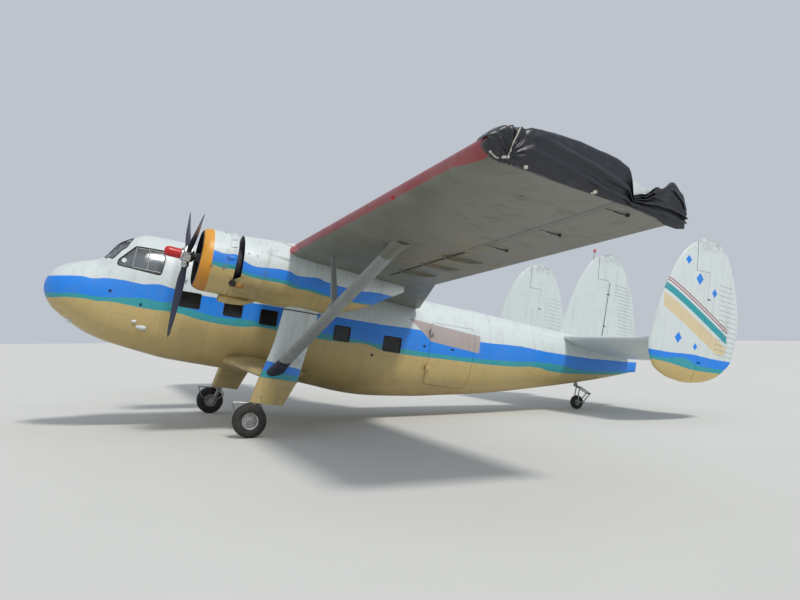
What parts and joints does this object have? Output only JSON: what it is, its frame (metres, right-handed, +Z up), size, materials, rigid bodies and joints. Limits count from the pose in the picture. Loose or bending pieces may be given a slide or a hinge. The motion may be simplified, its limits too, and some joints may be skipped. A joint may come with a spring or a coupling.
{
  "type": "twin-engined light transport aircraft",
  "caption": "High-winged light transport aircraft on fixed tailwheel gear, with two radial engines, triple fins and a covered stub where its port wing tip is missing.",
  "frame": {"origin": "centre of the bounding box on the floor that the three wheels stand on", "axes": "+X to port, along the span; -Y towards the nose; +Z up. The airframe is parked nose up."},
  "size_m": [22.254, 13.8232, 4.2066],
  "materials": {
    "white_paint": "weathered cool white gloss paint",
    "sand_paint": "weathered sand paint",
    "yellow_paint": "orange-yellow gloss paint",
    "grey_paint": "pale grey worn paint",
    "dark_metal": "dark blue-black paint over metal",
    "engine_metal": "oily cast metal",
    "gear_metal": "dull metal",
    "wheel_metal": "dull cast metal",
    "tyre": "dusty rubber",
    "glazing": "dusty clear glazing",
    "interior": "matt grey",
    "seat_cloth": "dark woven cloth",
    "cover_cloth": "black coated sheet"
  },
  "bodies": {
    "root": {"nose": "white_paint", "cockpit_shell": "white_paint", "cabin_shell": "white_paint", "tail_cone": "white_paint", "wing_centre": "white_paint", "wing_tip_starboard": "white_paint", "fin_centre": "white_paint", "wing_outer_port": "white_paint", "wing_outer_starboard": "white_paint", "flap_port": "white_paint", "flap_starboard": "white_paint", "nacelle_port": "white_paint", "nacelle_starboard": "white_paint", "leg_fairing_port": "white_paint", "leg_fairing_starboard": "white_paint", "tailplane_port": "white_paint", "tailplane_starboard": "white_paint", "fin_port": "white_paint", "fin_starboard": "white_paint", "stub_wing_port": "sand_paint", "stub_wing_starboard": "sand_paint", "cowl_port": "yellow_paint", "cowl_starboard": "yellow_paint", "lift_strut_port": "grey_paint", "lift_strut_starboard": "grey_paint", "engine_port": "engine_metal", "engine_starboard": "engine_metal", "axle_leg_port": "gear_metal", "axle_leg_starboard": "gear_metal", "tail_leg": "gear_metal", "windscreen_port": "glazing", "windscreen_starboard": "glazing", "cockpit_window_port": "glazing", "cockpit_window_starboard": "glazing", "cabin_glazing_port": "glazing", "cabin_glazing_starboard": "glazing", "floor": "interior", "instrument_panel": "interior", "crew_seat_port": "seat_cloth", "crew_seat_starboard": "seat_cloth", "wing_end_cover": "cover_cloth"},
    "cabin_door": {"cabin_door": "white_paint"},
    "aileron_port": {"aileron_port": "white_paint"},
    "aileron_starboard": {"aileron_starboard": "white_paint"},
    "propeller_port": {"propeller_port": "dark_metal"},
    "propeller_starboard": {"propeller_starboard": "dark_metal"},
    "wheel_port": {"tyre_port": "tyre", "wheel_port": "wheel_metal"},
    "wheel_starboard": {"tyre_starboard": "tyre", "wheel_starboard": "wheel_metal"},
    "tail_castor": {"tail_fork": "gear_metal"},
    "tail_wheel": {"tail_tyre": "tyre", "tail_wheel": "wheel_metal"},
    "elevator_port": {"elevator_port": "white_paint"},
    "elevator_starboard": {"elevator_starboard": "white_paint"},
    "rudder_centre": {"rudder_centre": "white_paint"},
    "rudder_port": {"rudder_port": "white_paint"},
    "rudder_starboard": {"rudder_starboard": "white_paint"}
  },
  "joints": [
    {"name": "cabin_door", "type": "hinge", "parent": "root", "child": "cabin_door", "pos_m": [1.418, 0.77354, 1.1265], "axis": [0, -0.1541, -0.9881], "range_deg": [0, 110]},
    {"name": "aileron_port", "type": "hinge", "parent": "root", "child": "aileron_port", "pos_m": [6.883, -0.7693, 3.18519], "axis": [0.9991, -0.007, 0.041], "range_deg": [-22, 22]},
    {"name": "aileron_starboard", "type": "hinge", "parent": "root", "child": "aileron_starboard", "pos_m": [-5.817, -0.7693, 3.18519], "axis": [-0.9991, -0.007, 0.041], "range_deg": [-22, 22]},
    {"name": "propeller_port", "type": "hinge", "parent": "root", "child": "propeller_port", "pos_m": [2.933, -4.46222, 3.273], "axis": [0, 0.9786, -0.2056], "continuous": true},
    {"name": "propeller_starboard", "type": "hinge", "parent": "root", "child": "propeller_starboard", "pos_m": [-1.867, -4.46222, 3.273], "axis": [0, 0.9786, -0.2056], "continuous": true},
    {"name": "wheel_port", "type": "hinge", "parent": "root", "child": "wheel_port", "pos_m": [3.053, -3.36853, 0.305], "axis": [1, 0, 0], "continuous": true},
    {"name": "wheel_starboard", "type": "hinge", "parent": "root", "child": "wheel_starboard", "pos_m": [-1.987, -3.36853, 0.305], "axis": [1, 0, 0], "continuous": true},
    {"name": "tail_castor", "type": "hinge", "parent": "root", "child": "tail_castor", "pos_m": [0.533, 5.09634, 0.58891], "axis": [0, 0, 1], "continuous": true},
    {"name": "tail_wheel", "type": "hinge", "parent": "tail_castor", "child": "tail_wheel", "pos_m": [0.533, 5.12131, 0.165], "axis": [1, 0, 0], "continuous": true},
    {"name": "elevator_port", "type": "hinge", "parent": "root", "child": "elevator_port", "pos_m": [0.843, 5.78216, 1.41715], "axis": [1, 0, 0], "range_deg": [-20, 25]},
    {"name": "elevator_starboard", "type": "hinge", "parent": "root", "child": "elevator_starboard", "pos_m": [0.223, 5.78216, 1.41715], "axis": [1, 0, 0], "range_deg": [-20, 25]},
    {"name": "rudder_centre", "type": "hinge", "parent": "root", "child": "rudder_centre", "pos_m": [0.533, 5.84767, 1.77226], "axis": [0, 0.211, 0.9775], "range_deg": [-25, 25]},
    {"name": "rudder_port", "type": "hinge", "parent": "root", "child": "rudder_port", "pos_m": [4.003, 5.72874, 0.87993], "axis": [0, 0.2321, 0.9727], "range_deg": [-25, 25]},
    {"name": "rudder_starboard", "type": "hinge", "parent": "root", "child": "rudder_starboard", "pos_m": [-2.937, 5.72874, 0.87993], "axis": [0, 0.2321, 0.9727], "range_deg": [-25, 25]}
  ],
  "couplings": [
    {"joint": "aileron_starboard", "follows": "aileron_port", "ratio": 1},
    {"joint": "elevator_starboard", "follows": "elevator_port", "ratio": 1},
    {"joint": "rudder_port", "follows": "rudder_centre", "ratio": 1},
    {"joint": "rudder_starboard", "follows": "rudder_centre", "ratio": 1}
  ]
}
